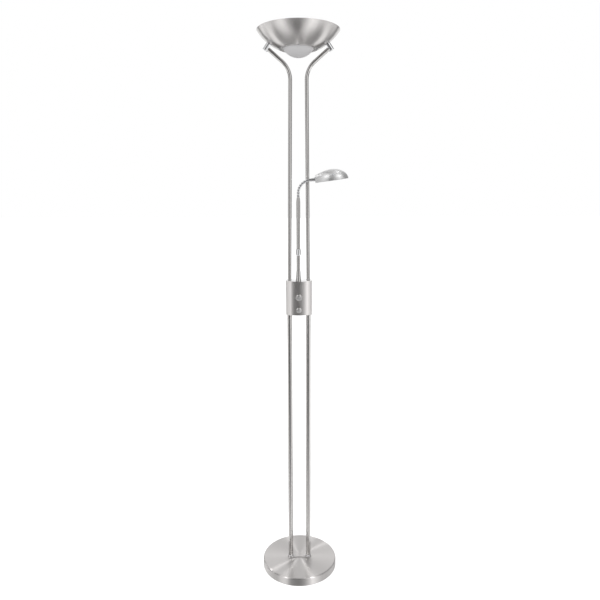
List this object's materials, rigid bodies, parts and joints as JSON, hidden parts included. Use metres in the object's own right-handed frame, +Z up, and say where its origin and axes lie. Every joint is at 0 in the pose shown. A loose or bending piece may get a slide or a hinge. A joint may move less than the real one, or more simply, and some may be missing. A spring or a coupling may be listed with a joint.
{
  "type": "floor lamp",
  "caption": "Twin-pole floor lamp with an uplighter bowl, a round base, a control box with rotary dimmers and a reading light on a flexible neck.",
  "frame": {"origin": "centre of the base pad's underside, on the floor, between the two poles", "axes": "+Z up; -Y towards the side with the two knobs; +X towards the side that the reading head points to at rest"},
  "size_m": [0.2864, 0.2606, 1.8007],
  "materials": {
    "brushed_steel": "satin brushed steel",
    "polished_chrome": "polished chrome plate",
    "zinc_steel": "bright zinc plate",
    "cast_iron": "as cast, painted",
    "felt_pad": "matt felt",
    "black_rubber": "matt",
    "black_plastic": "fine moulded",
    "white_nylon": "semi-matt",
    "opal_glass": "satin opal",
    "clear_glass": "clear polished",
    "frosted_glass": "etched",
    "white_ceramic": "glazed",
    "polished_aluminium": "bright anodised"
  },
  "bodies": {
    "stand": {"arm_collar": "brushed_steel", "arm_rod": "brushed_steel", "barrel_grub_screws": "zinc_steel", "base_bolts": "zinc_steel", "base_cover": "brushed_steel", "base_pad": "felt_pad", "base_weight": "cast_iron", "bowl": "brushed_steel", "bowl_glass": "opal_glass", "bowl_screws": "zinc_steel", "box_back_shell": "brushed_steel", "box_bottom_cap": "polished_chrome", "box_front_shell": "brushed_steel", "box_screws": "zinc_steel", "box_spacers": "zinc_steel", "box_top_cap": "polished_chrome", "cable_gland": "black_rubber", "dimmer_nuts": "zinc_steel", "foot_plate": "brushed_steel", "foot_rings": "polished_chrome", "glass_ring": "zinc_steel", "guard_glass": "clear_glass", "lamp_bracket": "zinc_steel", "lamp_holders": "white_ceramic", "left_barrel": "polished_chrome", "left_lower_pole": "brushed_steel", "left_upper_pole": "brushed_steel", "lower_pole_plugs": "zinc_steel", "pole_couplers": "zinc_steel", "pole_end_studs": "zinc_steel", "reading_dimmer": "black_plastic", "right_barrel": "polished_chrome", "right_lower_pole": "brushed_steel", "right_upper_pole": "brushed_steel", "ring_screws": "zinc_steel", "uplight_dimmer": "black_plastic", "uplight_lamp": "clear_glass", "wiring_block": "white_nylon"},
    "uplight_control": {"uplight_knob": "polished_chrome", "uplight_spindle": "zinc_steel"},
    "reading_control": {"reading_knob": "polished_chrome", "reading_spindle": "zinc_steel"},
    "arm_swivel_ring": {"joint_liner": "white_nylon"},
    "arm": {"joint_cup": "polished_chrome", "arm_tube": "brushed_steel"},
    "neck_1": {"neck_link_1": "polished_chrome"},
    "neck_2": {"neck_link_2": "polished_chrome"},
    "neck_3": {"neck_link_3": "polished_chrome"},
    "neck_4": {"neck_link_4": "polished_chrome"},
    "neck_5": {"neck_link_5": "polished_chrome"},
    "neck_6": {"neck_link_6": "polished_chrome"},
    "neck_7": {"neck_link_7": "polished_chrome"},
    "neck_8": {"neck_link_8": "polished_chrome"},
    "reading_head": {"head_ferrule": "polished_chrome", "head_shell": "brushed_steel", "head_screws": "zinc_steel", "head_reflector": "polished_aluminium", "head_socket": "white_ceramic", "head_bulb": "clear_glass", "head_lens": "frosted_glass"}
  },
  "joints": [
    {"name": "uplight_knob_turn", "type": "hinge", "parent": "stand", "child": "uplight_control", "pos_m": [0, -0.029, 0.9775], "axis": [0, 1, 0], "range_deg": [0, 270]},
    {"name": "reading_knob_turn", "type": "hinge", "parent": "stand", "child": "reading_control", "pos_m": [0, -0.029, 0.9355], "axis": [0, 1, 0], "range_deg": [0, 270]},
    {"name": "arm_swivel", "type": "hinge", "parent": "stand", "child": "arm_swivel_ring", "pos_m": [-0.0015, -0.016, 1.118], "axis": [0, 0, 1], "range_deg": [-180, 0]},
    {"name": "arm_tilt", "type": "hinge", "parent": "arm_swivel_ring", "child": "arm", "pos_m": [-0.0015, -0.016, 1.118], "axis": [0, 1, 0], "range_deg": [0, 20]},
    {"name": "neck_bend_1", "type": "hinge", "parent": "arm", "child": "neck_1", "pos_m": [-0.0015, -0.016, 1.299], "axis": [0, 1, 0], "range_deg": [-3, 5]},
    {"name": "neck_bend_2", "type": "hinge", "parent": "neck_1", "child": "neck_2", "pos_m": [-0.0015, -0.016, 1.3074], "axis": [0, 1, 0], "range_deg": [-3, 5]},
    {"name": "neck_bend_3", "type": "hinge", "parent": "neck_2", "child": "neck_3", "pos_m": [-0.0015, -0.016, 1.3158], "axis": [0, 1, 0], "range_deg": [-3, 5]},
    {"name": "neck_bend_4", "type": "hinge", "parent": "neck_3", "child": "neck_4", "pos_m": [0.0002, -0.016, 1.32403], "axis": [0, 1, 0], "range_deg": [-3, 5]},
    {"name": "neck_bend_5", "type": "hinge", "parent": "neck_4", "child": "neck_5", "pos_m": [0.00354, -0.016, 1.33173], "axis": [0, 1, 0], "range_deg": [-3, 5]},
    {"name": "neck_bend_6", "type": "hinge", "parent": "neck_5", "child": "neck_6", "pos_m": [0.00838, -0.016, 1.3386], "axis": [0, 1, 0], "range_deg": [-3, 5]},
    {"name": "neck_bend_7", "type": "hinge", "parent": "neck_6", "child": "neck_7", "pos_m": [0.01451, -0.016, 1.34434], "axis": [0, 1, 0], "range_deg": [-3, 5]},
    {"name": "neck_bend_8", "type": "hinge", "parent": "neck_7", "child": "neck_8", "pos_m": [0.02168, -0.016, 1.34873], "axis": [0, 1, 0], "range_deg": [-3, 5]},
    {"name": "head_bend", "type": "hinge", "parent": "neck_8", "child": "reading_head", "pos_m": [0.02959, -0.016, 1.35156], "axis": [0, 1, 0], "range_deg": [-3, 5]}
  ]
}
